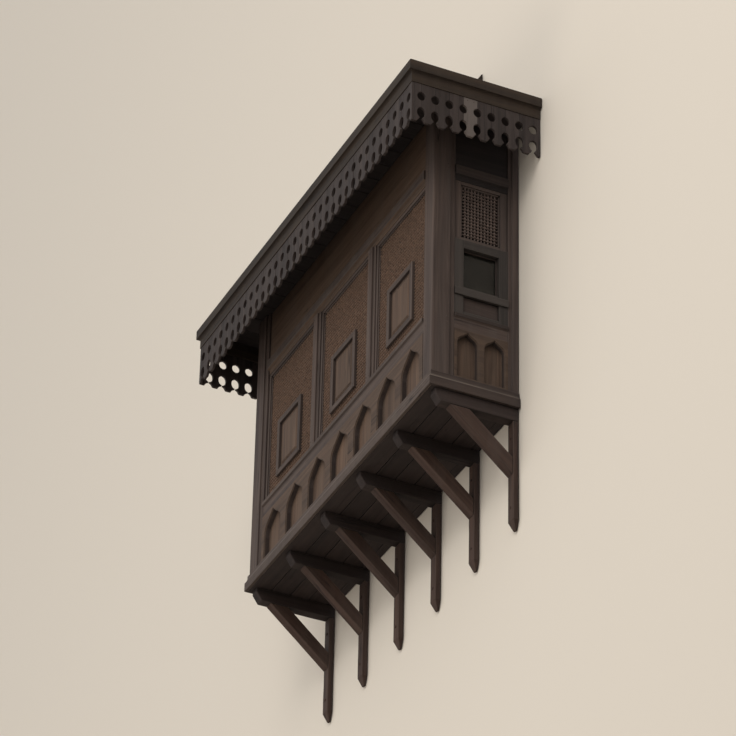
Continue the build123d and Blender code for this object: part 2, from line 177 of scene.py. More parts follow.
grain = {
    "noises": {  # scale, detail, roughness and distortion
        "figure": (26.0, 5.0, 0.62, 0.7), "fibre": (210.0, 2.0, 0.6), "split": (17.0, 2.0, 0.45),
        "patch": (1.7, 3.0, 0.6), "streak": (16.0, 3.0, 0.6),
    },
    "stretches": {"figure": 0.045, "fibre": 0.016, "split": 0.030}, "streakStretch": 0.06,
    "bands": {  # where each begins to tell, and where it tells in full
        "figure": (0.30, 0.70), "streak": (0.42, 0.74), "split": (0.0, 0.010), "splitPatch": (0.47, 0.60),
        "bleached": (1.0, 2.0), "dust": (0.25, 0.95), "dustPatch": (0.25, 0.62), "hollow": (0.22, 0.80),
    },
    # the dark colour below serves both the real splits and the painted shade in hollows
    "dust": (0.300, 0.240, 0.180), "crackAndShadeDark": (0.014, 0.010, 0.009), "bleached": (0.240, 0.200, 0.170),
    "hollow": 0.055, "hollowShade": {"turned": 0.35, "shaded": 0.35},
    "shares": {"streak": 0.65, "worn": 0.55, "bleached": 0.6, "dust": 0.55, "split": 0.8, "hollow": 0.75},
    "shade": {"least": 0.74, "fibre": 0.30, "patch": 0.26, "tone": 0.16},
    "relief": {"figure": 0.45, "fibre": 0.35, "split": 0.9, "strength": 0.55, "depth": 0.0022},
    "roughness": {"least": 0.66, "streak": 0.22, "split": 0.1},
    "gloss": 0.32,
    "spread": (3.1, 5.3, 4.7),  # how far each board's tone moves its figure
}
woods = {}


def wood(finishName, along, rake=0.0):
    # along is the way that the grain runs: 0, 1 or 2 for X, Y or Z; rake turns it about X, from Y towards Z
    key = (finishName, along, rake)
    if key in woods:
        return woods[key]
    finish, noises, bands = finishes[finishName], grain["noises"], grain["bands"]
    shares, shade, relief, rough = (grain[each] for each in ("shares", "shade", "relief", "roughness"))
    material, place = newFinish(finishName + "Wood" + ("Raked" if rake else "XYZ"[along]))
    tone = place.node("ShaderNodeAttribute", {"attribute_name": "tone"}).out("Fac")
    spread = place.vector(*(tone * each for each in grain["spread"]))
    place = place.node("ShaderNodeVectorMath", {"operation": "ADD"}, {0: place, 1: spread})
    run = place
    if rake:
        run = place.node("ShaderNodeMapping", None, {"Vector": place, "Rotation": (-rake, 0.0, 0.0)})

    def drawnOut(kind):  # noise that runs with the grain
        stretch = grain["stretches"][kind]
        return noiseOn(run.scaled(*(stretch if axis == along else 1.0 for axis in range(3))), *noises[kind])

    figure, fibre = drawnOut("figure"), drawnOut("fibre")
    patch = noiseOn(place, *noises["patch"])
    streak = noiseOn(place.scaled(1.0, 1.0, grain["streakStretch"]), *noises["streak"])
    split = 1 - (drawnOut("split") - 0.5).size().within(*bands["split"])
    split = split * patch.within(*bands["splitPatch"])

    worn = place.node("ShaderNodeAttribute", {"attribute_name": "worn"}).out("Fac")
    up = place.node("ShaderNodeNewGeometry").out("Normal").part("Z")
    # painted shade: ambient occlusion finds where the wood is hemmed in, in recesses, corners and between
    # parts, and the wood is darkened there below
    openAir = place.node("ShaderNodeAmbientOcclusion", {"samples": 5}, {"Distance": grain["hollow"]}).out("AO")
    hollow = (1 - openAir).within(*bands["hollow"])
    dust = up.within(*bands["dust"]) * patch.within(*bands["dustPatch"])

    body = mixed(finish["dark"], finish["light"], figure.within(*bands["figure"]))
    body = mixed(body, finish["grey"], streak.within(*bands["streak"]) * shares["streak"])
    body = mixed(body, finish["grey"], worn * shares["worn"])
    body = mixed(body, grain["bleached"], tone.within(*bands["bleached"]) * shares["bleached"])
    body = mixed(body, grain["dust"], dust * shares["dust"])
    level = shade["least"] + fibre * shade["fibre"] + patch * shade["patch"] + tone * shade["tone"]
    grey = place.node("ShaderNodeCombineColor", None, {0: level, 1: level, 2: level})
    shaded = {"data_type": "RGBA", "blend_type": "MULTIPLY"}
    body = place.node("ShaderNodeMix", shaded, {0: 1.0, 6: body, 7: grey}).out(2)
    body = mixed(body, grain["crackAndShadeDark"], split * shares["split"])
    # painted shade in the hollows; the line above darkens the splits, which are real
    body = mixed(body, grain["crackAndShadeDark"], hollow * grain["hollowShade"].get(finishName, shares["hollow"]))
    height = figure * relief["figure"] + fibre * relief["fibre"] - split * relief["split"]
    surfaced(place, {
        "Base Color": body, "Roughness": rough["least"] + streak * rough["streak"] + split * rough["split"],
        "Normal": bumped(height, relief["strength"], relief["depth"]), "Specular IOR Level": grain["gloss"],
    })
    woods[key] = material
    return material


glassLook = {
    "deep": (0.009, 0.008, 0.006), "dust": (0.050, 0.042, 0.033),
    "film": (9.0, 5.0, 0.65), "filmBand": (0.35, 0.75), "filmShare": 0.55,
    "runs": (60.0, 2.0), "runsBand": (0.5, 0.8), "runsShare": 0.25, "runStretch": 0.12,
    "ripple": (14.0, 1.0), "strength": 0.25, "depth": 0.002,
    "gloss": 0.28, "clean": {"roughness": 0.08, "alpha": 0.72}, "dirty": {"roughness": 0.35, "alpha": 0.25},
}
ironLook = {
    "dark": (0.020, 0.017, 0.016), "rust": (0.085, 0.038, 0.020),
    "patch": (140.0, 4.0, 0.7), "band": (0.35, 0.65), "metallic": 0.35, "smooth": 0.55, "rough": 0.35,
}


def glassFinish():
    look, clean, dirty = glassLook, glassLook["clean"], glassLook["dirty"]
    material, place = newFinish("oldGlass")
    film = noiseOn(place, *look["film"]).within(*look["filmBand"])
    runs = noiseOn(place.scaled(1.0, 1.0, look["runStretch"]), *look["runs"]).within(*look["runsBand"])
    dirt = film * look["filmShare"] + runs * look["runsShare"]
    surfaced(place, {
        "Base Color": mixed(look["deep"], look["dust"], dirt),
        "Roughness": clean["roughness"] + dirt * dirty["roughness"],
        "Alpha": clean["alpha"] + dirt * dirty["alpha"],
        "Normal": bumped(noiseOn(place, *look["ripple"]), look["strength"], look["depth"]),
        "Specular IOR Level": look["gloss"],
    })
    return material


def ironFinish():
    look = ironLook
    material, place = newFinish("rustedIron")
    rust = noiseOn(place, *look["patch"])
    surfaced(place, {
        "Base Color": mixed(look["dark"], look["rust"], rust.within(*look["band"])),
        "Roughness": look["smooth"] + rust * look["rough"], "Metallic": look["metallic"],
    })
    return material


# Timber, worked from plain solids

softest = math.radians(24)  # edges that turn less than this stay as they are


class Timber:  # one piece of the object while it is made; each face keeps how worn it is and its board's tone
    def __init__(self, name):
        self.name = name
        self.mesh = bmesh.new()
        self.materials = []
        self.dice = random.Random(name)

    def anyTone(self):
        return self.dice.uniform(-1, 1)

    def paint(self, mesh, faces, material, tone):
        if material not in self.materials:
            self.materials.append(material)
        layer = mesh.faces.layers.float["tone"]
        for face in faces:
            face.material_index = self.materials.index(material)
            face[layer] = tone

    def place(self, part, material):
        self.paint(part, part.faces, material, self.anyTone())
        made = bpy.data.meshes.new("part")
        part.to_mesh(made)
        part.free()
        self.mesh.from_mesh(made)
        bpy.data.meshes.remove(made)

    def fit(self, part, edge, finishName, along):
        self.place(soften(part, edge), wood(finishName, along))

    def finish(self, slot, *replaced):
        made = bpy.data.meshes.new(self.name)
        self.mesh.to_mesh(made)
        self.mesh.free()
        for material in self.materials:
            made.materials.append(material)
        settle(made, self.name, slot, *replaced)


def linked(piece):
    bpy.context.scene.collection.objects.link(piece)
    return piece


def settle(made, name, slot, *replaced):  # makes a finished mesh a piece of the object
    made.name = name
    piece = linked(bpy.data.objects.new(name, made))
    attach(piece, "root")
    if replaced:
        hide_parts(*replaced)


def newPart():
    part = bmesh.new()
    part.faces.layers.float.new("worn")
    part.faces.layers.float.new("tone")
    return part


def boxPart(low, high):
    part = newPart()
    bmesh.ops.create_cube(part, size=1.0)
    low, high = Vector(low), Vector(high)
    for vertex in part.verts:
        vertex.co = [(low[i] + high[i]) / 2 + vertex.co[i] * (high[i] - low[i]) for i in range(3)]
    return part


def closedPart(part, ring, back):  # closes the two rings of a prism and the band between them
    part.faces.new(ring)
    part.faces.new(back[::-1])
    for index in range(len(ring)):
        following = (index + 1) % len(ring)
        part.faces.new((ring[following], ring[index], back[index], back[following]))
    bmesh.ops.recalc_face_normals(part, faces=part.faces)
    return part


def prismPart(points, lift, origin, across, upward):
    # a closed outline in the plane of across and upward, given a thickness along lift
    part = newPart()
    origin, across, upward, lift = Vector(origin), Vector(across), Vector(upward), Vector(lift)
    ring = [part.verts.new(origin + across * x + upward * y) for x, y in points]
    back = [part.verts.new(vertex.co + lift) for vertex in ring]
    return closedPart(part, ring, back)


def bothEnds(span, width):  # the strip at each end of a span
    return ((span[0], span[0] + width), (span[1] - width, span[1]))


def nodePart(name):  # the solid's own mesh, its doubles merged and its flat faces whole
    part = newPart()
    part.from_mesh(nodes[name].data)
    bmesh.ops.remove_doubles(part, verts=part.verts, dist=0.00002)
    bmesh.ops.dissolve_limit(part, angle_limit=math.radians(0.6), verts=part.verts, edges=part.edges)
    return part


def soften(part, width, segments=2):
    worn = part.faces.layers.float["worn"]
    edges = [edge for edge in part.edges if len(edge.link_faces) == 2 and edge.calc_face_angle(0) > softest]
    made = bmesh.ops.bevel(part, geom=edges, offset=width, offset_type="OFFSET", segments=segments,
                           profile=0.5, affect="EDGES", clamp_overlap=True)
    for face in made["faces"]:
        face[worn] = 1.0
    return part


def cutAcross(part, along, spacing):
    places = [vertex.co[along] for vertex in part.verts]
    low, high = min(places), max(places)
    count = max(1, round((high - low) / spacing))
    normal = Vector([1.0 if i == along else 0.0 for i in range(3)])
    for index in range(1, count):
        point = normal * (low + (high - low) * index / count)
        geometry = part.verts[:] + part.edges[:] + part.faces[:]
        bmesh.ops.bisect_plane(part, geom=geometry, plane_co=point, plane_no=normal, dist=0.00001)
    return part


unevenness = {
    "drift": 0.35, "driftApart": 7.3, "driftLevel": 0.37, "local": 0.65, "localAlong": 2.3, "localAcross": 21,
}


def wander(part, along, amount, pitch, seed):
    # a timber is never quite straight: each slice moves a little, always towards the middle of the piece
    look = unevenness
    middle = sum((vertex.co for vertex in part.verts), Vector()) / len(part.verts)
    for vertex in part.verts:
        at = vertex.co[along] / pitch
        for axis in range(3):
            if axis != along:
                drift = noise.noise(Vector((at, seed + axis * look["driftApart"], look["driftLevel"])))
                aside = vertex.co[(axis + 1) % 3] * look["localAcross"]
                local = noise.noise(Vector((at * look["localAlong"], aside, seed + axis)))
                inward = -1.0 if vertex.co[axis] > middle[axis] else 1.0
                vertex.co[axis] += amount * (look["drift"] * abs(drift) + look["local"] * abs(local)) * inward
    return part


print("tools ready")


# Walls of the box

class Face:  # which way runs across a wall of the box, and which way is out of it
    def __init__(self, across, out):
        self.across = across
        self.depth = 1 - across
        self.out = out
        self.outward = Vector((0, 0, 0))
        self.outward[self.depth] = out
        self.rightward = skyward.cross(self.outward)  # as seen from outside

    def board(self, acrossRange, upRange, depthRange):
        low, high = [0.0] * 3, [0.0] * 3
        for axis, span in ((self.across, acrossRange), (2, upRange), (self.depth, depthRange)):
            low[axis], high[axis] = min(span), max(span)
        return boxPart(low, high)

    def spot(self, across, up, depth):
        place = Vector((0, 0, up))
        place[self.across] = across
        place[self.depth] = depth
        return place

    def planes(self, low, high):  # outer and inner plane of a box in this wall
        ends = (low[self.depth], high[self.depth])
        return (min(ends), max(ends)) if self.out < 0 else (max(ends), min(ends))

    def leftEnd(self, low, high, border):  # left end of a box inside its border, as seen from outside
        return low[self.across] + border if self.rightward[self.across] > 0 else high[self.across] - border

    def turn(self, place):  # takes x to the right, y up and z outwards to this wall, with the origin at place
        ways = Matrix((self.rightward, skyward, self.outward))
        return Matrix.Translation(place) @ ways.transposed().to_4x4()


faces = {"front": Face(0, -1), "left": Face(1, -1), "right": Face(1, 1)}
front = faces["front"]


# Frames, mouldings and other pieces that keep the solid's own shape, with softened edges

dressed = {  # solid: finish, way of the grain, width of the worn edge, slot
    "back_sill": ("boards", 0, 0.004, "frame_wood"),
    "sill_rail_front": ("frame", 0, 0.0030, "frame_wood"),
    "frieze_front": ("panel", 0, 0.0030, "panel_wood"),
    "base_moulding_front": ("moulding", 0, 0.0022, "frame_wood"),
    "cornice_front": ("canopy", 0, 0.0024, "canopy_wood"),
}
dressedPairs = {
    "corner_post": ("frame", 2, 0.0035, "frame_wood"),
    "wall_stile": ("frame", 2, 0.0030, "frame_wood"),
    "mullion": ("frame", 2, 0.0024, "frame_wood"),
    "sill_rail": ("frame", 1, 0.0030, "frame_wood"),
    # painted shade: the side friezes take a very dark finish, while the front frieze takes the panel finish
    "frieze": ("eaves", 1, 0.0030, "panel_wood"),
    # painted shade: the side base mouldings take a darker finish than the front one
    "base_moulding": ("apron", 1, 0.0022, "frame_wood"),
    "cornice": ("canopy", 1, 0.0024, "canopy_wood"),
}
for pair, settings in dressedPairs.items():
    for side in sides:
        dressed[pair + "_" + side] = settings
banded = ("frieze", "sill_rail")  # rails whose outermost band has a finish of its own
bandDepth = 0.004


def dress(name, finishName, along, edge, slot):
    piece = Timber(name + "_timber")
    piece.fit(nodePart(name), edge, finishName, along)
    if name.startswith(banded):
        face = faces[name.split("_")[-1]]
        outer = face.planes(*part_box(name))[0]
        band = [each for each in piece.mesh.faces
                if abs(each.calc_center_median()[face.depth] - outer) < bandDepth]
        # the front bands take the moulding finish and the side bands a darker one: painted shade on the sides
        piece.paint(piece.mesh, band, wood("moulding" if along == 0 else "apron", along), piece.anyTone())
    piece.finish(slot, name)


for name, settings in dressed.items():
    dress(name, *settings)
print("frames and mouldings dressed")


# Arcade: a fretted board with its grain along the wall, over upright boards that show in the arches

arcadeLook = {  # each wall has its number of arches and the width of a pier
    "front": (7, 0.086), "left": (2, 0.046), "right": (2, 0.046), "edge": 0.0016, "lip": 0.003, "deepest": 0.02,
    "crown": 0.370, "rise": 0.6, "sharpen": 0.10, "overSpringing": 0.001, "overCrown": 0.008, "margin": 0.01,
    "squareOn": 0.9, "edgeOn": 0.3,  # how far a face looks out of the wall
}


def sharpen(part, face, start, level, pitch, width):
    # draws the haunches of each arch in, so that its head is nearly straight-sided
    look = arcadeLook
    crown = level + look["crown"]
    springing = crown - look["rise"] * width
    for vertex in part.verts:
        place = (vertex.co[face.across] - start) / pitch
        reach = abs(place - math.floor(place) - 0.5) * 2 * pitch / width
        if reach < 1 and springing + look["overSpringing"] < vertex.co.z < crown + look["overCrown"]:
            vertex.co.z -= look["sharpen"] * width * 4 * reach * (1 - reach)
    return part


def arcade(wall):
    name, face, look = "arcade_" + wall, faces[wall], arcadeLook
    low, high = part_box(name)
    outer = face.planes(low, high)[0]
    start, end = low[face.across], high[face.across]
    count, pier = look[wall]
    pitch = (end - start) / count
    piece = Timber(name + "_timber")
    fretted = sharpen(nodePart(name), face, start, low.z, pitch, pitch - pier)
    piece.fit(fretted, look["edge"], "panel", face.across)
    found = []
    for each in piece.mesh.faces:
        at = each.calc_center_median()
        depth = (outer - at[face.depth]) * face.out
        found.append((each, at[face.across], at.z, depth, each.normal.dot(face.outward)))
    for index in range(count):
        bay = start + index * pitch
        sunk = [each for each, across, up, depth, facing in found
                if facing > look["squareOn"] and depth > look["deepest"] and bay < across < bay + pitch]
        piece.paint(piece.mesh, sunk, wood("panel", 2), piece.anyTone())
    margin, crown = look["margin"], low.z + look["crown"]
    # painted shade: the reveals of the arches take the darker apron finish
    shadedJambs = [each for each, across, up, depth, facing in found
             if abs(facing) < look["edgeOn"] and look["lip"] < depth < look["deepest"] * 2
             and low.z + margin < up < crown + margin and start + margin < across < end - margin]
    piece.paint(piece.mesh, shadedJambs, wood("apron", 2), 0.0)
    piece.finish("panel_wood", name)


for wall in faces:
    arcade(wall)
print("arcades made")


# Brackets and roof braces: rough timbers, never quite straight

bracketLook = {"count": 6, "edge": 0.0045, "slice": 0.06, "wander": 0.0022, "pitch": 0.16, "seedStep": 3.7}
rakes = {"strut": math.radians(-41.8), "brace": math.radians(58)}
bracketKinds = {
    "bearer": ("boards", 1, 0.0), "post": ("bracket", 2, 0.0), "strut": ("bracket", 1, rakes["strut"]),
}


def roughTimber(name, finishName, slot, along, rake, seed):
    look = bracketLook
    piece = Timber(name + "_timber")
    part = cutAcross(soften(nodePart(name), look["edge"]), along, look["slice"])
    wander(part, along, look["wander"], look["pitch"], seed)
    piece.place(part, wood(finishName, along, rake))
    piece.finish(slot, name)


for number in range(1, bracketLook["count"] + 1):
    for kind, (finishName, along, rake) in bracketKinds.items():
        name = "bracket_%s_%d" % (kind, number)
        roughTimber(name, finishName, "bracket_wood", along, rake, number * bracketLook["seedStep"] + len(kind))
for side in sides:
    roughTimber("roof_brace_" + side, "canopy", "canopy_wood", 1, rakes["brace"], len(side))
print("brackets and braces made")


# Geometry Nodes

def newTree(name, sockets):
    tree = bpy.data.node_groups.new(name, "GeometryNodeTree")
    tree.interface.new_socket("Geometry", in_out="OUTPUT", socket_type="NodeSocketGeometry")
    for socketName, kind in sockets.items():
        tree.interface.new_socket(socketName, in_out="INPUT", socket_type="NodeSocket" + kind)
    return tree, Wire(tree).node("NodeGroupInput")


def endTree(geometry, material):
    # the realized mesh, with its material, leaves the tree
    real = geometry.node("GeometryNodeRealizeInstances", None, {0: geometry})
    painted = real.node("GeometryNodeSetMaterial", None, {0: real, "Material": material})
    painted.node("NodeGroupOutput", None, {0: painted})


def grown(tree, values):
    # runs a tree with these inputs and returns the plain mesh; the objects that were copied go
    holder = linked(bpy.data.objects.new("holder", bpy.data.meshes.new("holder")))
    modifier = holder.modifiers.new("grow", "NODES")
    modifier.node_group = tree
    for item in tree.interface.items_tree:
        if item.in_out == "INPUT" and item.name in values:
            modifier[item.identifier] = values[item.name]
    graph = bpy.context.evaluated_depsgraph_get()
    made = bpy.data.meshes.new_from_object(holder.evaluated_get(graph), depsgraph=graph)
    for used in [holder] + [value for value in values.values() if isinstance(value, bpy.types.Object)]:
        bpy.data.objects.remove(used)
    return made


def randomOn(wire, low, high, seed):
    values = {2: low, 3: high, "Seed": seed}
    return wire.node("FunctionNodeRandomValue", {"data_type": "FLOAT"}, values).out(1)


def looseBoard(name, part):  # a board for a tree to copy, without a tone, since each copy gets its own there
    part.faces.layers.float.remove(part.faces.layers.float["tone"])
    board = bpy.data.meshes.new(name)
    part.to_mesh(board)
    part.free()
    return bpy.data.objects.new(name, board)


def shapeOf(given):  # the shape of an object that is given to a tree
    return given.node("GeometryNodeObjectInfo", None, {0: given}).out("Geometry")


def copiesOn(points, shape, values):
    return points.node("GeometryNodeInstanceOnPoints", None, {0: points, "Instance": shape, **values})


def moved(geometry, way):
    return geometry.node("GeometryNodeTransform", None, {0: geometry, "Translation": way})


def rowOf(given):  # points along X, as far apart as the tree's pitch, about the middle
    count, pitch = given.out("Count"), given.out("Pitch")
    begin = given.vector((count - 1) * pitch * -0.5)
    values = {"Count": count, "Start Location": begin, "Offset": given.vector(pitch)}
    return given.node("GeometryNodeMeshLine", {"mode": "OFFSET"}, values)


def toned(geometry, value):
    settings = {"data_type": "FLOAT", "domain": "INSTANCE"}
    values = {0: geometry, "Name": "tone", "Value": value}
    return geometry.node("GeometryNodeStoreNamedAttribute", settings, values)


# Turned lattice: beads where the bars cross, and turned spindles between them

latticeLook = {
    "frontBorder": (0.030, 0.030), "sideBorder": (0.052, 0.030), "frontCells": (28, 40), "sideCells": (11, 16),
    "bead": 0.0090, "spindle": 0.0055, "waist": 0.80, "swell": 0.22,
    "edge": 0.0022, "step": 0.007, "lip": 0.009,
    "girths": (0.93, 1.05), "tones": (-0.8, 0.8), "noGap": (-2.0, -1.0, -2.0, -1.0), "nearGap": 0.001,
}


def latticeTree():
    tree, given = newTree("turnedLattice", {
        "Columns": "Int", "Rows": "Int", "Cell Width": "Float", "Cell Height": "Float",
        "Gap Left": "Float", "Gap Right": "Float", "Gap Low": "Float", "Gap High": "Float",
        "Bead Radius": "Float", "Spindle Radius": "Float", "Seed": "Int", "Wood": "Material",
    })
    columns, rows, seed = given.out("Columns"), given.out("Rows"), given.out("Seed")
    cellWidth, cellHeight = given.out("Cell Width"), given.out("Cell Height")
    near = latticeLook["nearGap"]

    def points(countX, countY):
        sizes = {
            "Vertices X": countX, "Vertices Y": countY,
            "Size X": (countX - 1) * cellWidth, "Size Y": (countY - 1) * cellHeight,
        }
        grid = given.node("GeometryNodeMeshGrid", None, sizes)
        grid = moved(grid, given.vector(columns * cellWidth * 0.5, rows * cellHeight * 0.5))
        at = grid.node("GeometryNodeInputPosition")
        x, y = at.part("X"), at.part("Y")
        inGap = (x > given.out("Gap Left") - near) * (x < given.out("Gap Right") + near)
        inGap = inGap * (y > given.out("Gap Low") - near) * (y < given.out("Gap High") + near)
        return grid.node("GeometryNodeDeleteGeometry", {"domain": "POINT"}, {0: grid, "Selection": inGap})

    def spindle(length):
        rod = given.node("GeometryNodeMeshCylinder", {"fill_type": "NGON"}, {
            "Vertices": 6, "Side Segments": 4, "Radius": given.out("Spindle Radius"), "Depth": length,
        })
        at = rod.node("GeometryNodeInputPosition")
        along = at.part("Z")
        girth = latticeLook["waist"] + (along / length * (4 * math.pi)).wave() * latticeLook["swell"]
        turned = at.vector(at.part("X") * girth, at.part("Y") * girth, along)
        return rod.node("GeometryNodeSetPosition", None, {0: rod, "Position": turned})

    bead = given.node("GeometryNodeMeshUVSphere", None, {
        "Segments": 8, "Rings": 5, "Radius": given.out("Bead Radius"),
    })
    sets = []
    for countX, countY, shape, turn, seedStep in (
        (columns - 1, rows - 1, bead, (0.0, 0.0, 0.0), 1),
        (columns, rows - 1, spindle(cellWidth), (0.0, math.pi / 2, 0.0), 2),
        (columns - 1, rows, spindle(cellHeight), (math.pi / 2, 0.0, 0.0), 3),
    ):
        size = randomOn(given, *latticeLook["girths"], seed + seedStep)
        values = {"Rotation": turn, "Scale": given.vector(size, size, 1.0)}
        copies = copiesOn(points(countX, countY), shape, values)
        sets.append(toned(copies, randomOn(given, *latticeLook["tones"], seed + seedStep + 10)))
    joined = given.node("GeometryNodeJoinGeometry", None, {0: sets})
    smooth = joined.node("GeometryNodeRealizeInstances", None, {0: joined})
    smooth = smooth.node("GeometryNodeSetShadeSmooth", None, {0: smooth})
    endTree(smooth, given.out("Wood"))
    return tree


turnedTree = latticeTree()


def steppedEnds(low, high, width, lip):  # the flat and the lip of the timber at each end of a frame
    return (((low, low + width - lip), (low + width - lip, low + width)),
            ((high - width + lip, high), (high - width, high - width + lip)))


def panelFrame(piece, face, across, up, depth, border):
    # two stiles and two rails, each with a step beside the bars
    aside, above = border
    lip, edge = latticeLook["lip"], latticeLook["edge"]
    stepped = (depth[0] - face.out * latticeLook["step"], depth[1])
    for flat, inset in steppedEnds(*across, aside, lip):
        piece.fit(face.board(flat, up, depth), edge, "frame", 2)
        piece.fit(face.board(inset, (up[0] + above, up[1] - above), stepped), edge, "frame", 2)
    flatSpan = (across[0] + aside - lip, across[1] - aside + lip)
    insetSpan = (across[0] + aside, across[1] - aside)
    for flat, inset in steppedEnds(*up, above, lip):
        piece.fit(face.board(flatSpan, flat, depth), edge, "frame", face.across)
        piece.fit(face.board(insetSpan, inset, stepped), edge, "frame", face.across)


def latticePanel(name, face, border, cells, finishName, gapNode=None):
    low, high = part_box(name)
    depth = face.planes(low, high)
    aside, above = border
    start, end = low[face.across], high[face.across]
    piece = Timber(name + "_frame")
    panelFrame(piece, face, (start, end), (low.z, high.z), depth, border)
    piece.finish("frame_wood", name)
    gap = latticeLook["noGap"]
    if gapNode:
        gapLow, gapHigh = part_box(gapNode)
        gap = (gapLow[face.across] - start - aside, gapHigh[face.across] - start - aside,
               gapLow.z - low.z - above, gapHigh.z - low.z - above)
    made = grown(turnedTree, {
        "Columns": cells[0], "Rows": cells[1],
        "Cell Width": (end - start - 2 * aside) / cells[0],
        "Cell Height": (high.z - low.z - 2 * above) / cells[1],
        "Gap Left": gap[0], "Gap Right": gap[1], "Gap Low": gap[2], "Gap High": gap[3],
        "Bead Radius": latticeLook["bead"], "Spindle Radius": latticeLook["spindle"],
        "Seed": len(name), "Wood": wood(finishName, 2),
    })
    made.transform(face.turn(face.spot(face.leftEnd(low, high, aside), low.z + above, sum(depth) / 2)))
    settle(made, name + "_bars", "turned_lattice", name)


for third in thirds:
    latticePanel("lattice_front_" + third, front, latticeLook["frontBorder"], latticeLook["frontCells"],
                 "turned", "hatch_" + third)
for side in sides:
    latticePanel("lattice_" + side, faces[side], latticeLook["sideBorder"], latticeLook["sideCells"], "shaded")
print("lattices turned")


# Hatches: a framed leaf with a raised field

hatchLook = {
    "border": 0.034, "pocket": 0.016, "field": 0.009, "margin": 0.022, "slope": 0.014, "edge": 0.0024,
    "fieldEdge": 0.0012, "sunk": 0.001,
}


def hatchLeaf(third):
    name, look = "hatch_" + third, hatchLook
    low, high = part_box(name)
    piece = Timber(name + "_leaf")
    border, edge, slope = look["border"], look["edge"], look["slope"]
    inside, opening = (low.x + border, high.x - border), (low.z + border, high.z - border)
    depth, foot = (low.y, high.y), low.y + look["pocket"]
    for stile in bothEnds((low.x, high.x), border):
        piece.fit(front.board(stile, (low.z, high.z), depth), edge, "frame", 2)
    for rail in bothEnds((low.z, high.z), border):
        piece.fit(front.board(inside, rail, depth), edge, "frame", 0)
    piece.place(front.board(inside, opening, (foot, high.y)), wood("panel", 2))
    reach = border + look["margin"]
    corners = [((low.x if i > 0 else high.x) + reach * i, (low.z if j > 0 else high.z) + reach * j, i, j)
               for i, j in ((1, 1), (-1, 1), (-1, -1), (1, -1))]  # each with the way in from it
    field = newPart()
    base = [field.verts.new((x, foot + look["sunk"], z)) for x, z, i, j in corners]
    top = [field.verts.new((x + slope * i, foot - look["field"], z + slope * j)) for x, z, i, j in corners]
    piece.fit(closedPart(field, top, base), look["fieldEdge"], "panel", 2)
    piece.finish("panel_wood", name)


for third in thirds:
    hatchLeaf(third)


# Side windows: a deep frame over a sloping sill and a sunk apron, and an old pane held by beads

windowLook = {
    "border": 0.056, "bottom": 0.190, "sillLow": 0.125, "sillHigh": 0.187, "sillSlope": 0.016, "nose": 0.010,
    "foot": 0.022, "apronSunk": 0.014, "railSunk": 0.005, "pane": 0.034, "bead": 0.007, "beadEdge": 0.0012,
    "edge": 0.0026,
}


def sideWindow(side):
    face, look = faces[side], windowLook
    low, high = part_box("window_" + side)
    nose, inner = face.planes(low, high)
    outer = nose - face.out * look["nose"]
    edge, bead, beadEdge = look["edge"], look["bead"], look["beadEdge"]
    piece = Timber("window_" + side + "_frame")
    span = (low.y + look["border"], high.y - look["border"])
    opening = (low.z + look["bottom"], high.z - look["border"])
    foot, sillLow = low.z + look["foot"], low.z + look["sillLow"]

    def sunk(depth):
        return outer - face.out * depth

    for stile in bothEnds((low.y, high.y), look["border"]):
        piece.fit(face.board(stile, (low.z, high.z), (outer, inner)), edge, "casement", 2)
    for rail, depth, finishName in (
        ((opening[1], high.z), 0.0, "casement"), ((sillLow, opening[0]), look["railSunk"], "casement"),
        ((foot, sillLow), look["apronSunk"], "apron"), ((low.z, foot), 0.0, "casement"),
    ):
        piece.fit(face.board(span, rail, (sunk(depth), inner)), edge, finishName, 1)
    back, out = -look["apronSunk"], look["nose"]
    profile = [(back, look["sillLow"]), (out, look["sillLow"]),
               (out, look["sillHigh"] - look["sillSlope"]), (back, look["sillHigh"])]
    sill = prismPart(profile, (0, high.y - low.y, 0), face.spot(low.y, low.z, outer), face.outward, skyward)
    piece.fit(sill, edge, "casement", 1)
    held = (sunk(look["pane"] - bead), sunk(look["pane"]))
    for strip in bothEnds(span, bead):
        piece.fit(face.board(strip, opening, held), beadEdge, "frame", 2)
    for strip in bothEnds(opening, bead):
        piece.fit(face.board(span, strip, held), beadEdge, "frame", 1)
    piece.finish("frame_wood", "window_" + side)


pane = glassFinish()
for side in sides:
    sideWindow(side)
    glass = nodes["pane_" + side]
    glass.data.materials.clear()
    glass.data.materials.append(pane)
print("hatches and windows made")


# Fringe: narrow boards hung side by side, their edges sawn so that each joint has two holes and a notch

fringeLook = {
    "pitch": 0.092, "seam": 0.0008, "thickness": 0.016, "height": 0.262, "rows": (0.085, 0.198),
    "holeHalf": 0.025, "reaches": (0.029, 0.036), "notchHalf": 0.022, "notch": 0.025, "tip": 0.008,
    "tipSlope": 0.3, "edge": 0.0012, "steps": 8, "lean": 0.008, "twist": 0.4, "slip": 0.0012,
    "worn": {"front": 0.009, "left": 0.001, "right": 0.009},
    "tones": (-0.9, 0.7), "paleTone": 1.55,
    "pale": {"front": -9, "left": -9, "right": 3},  # which board is pale; -9 is none
    "seeds": {"front": 84, "left": 77, "right": 84},
}


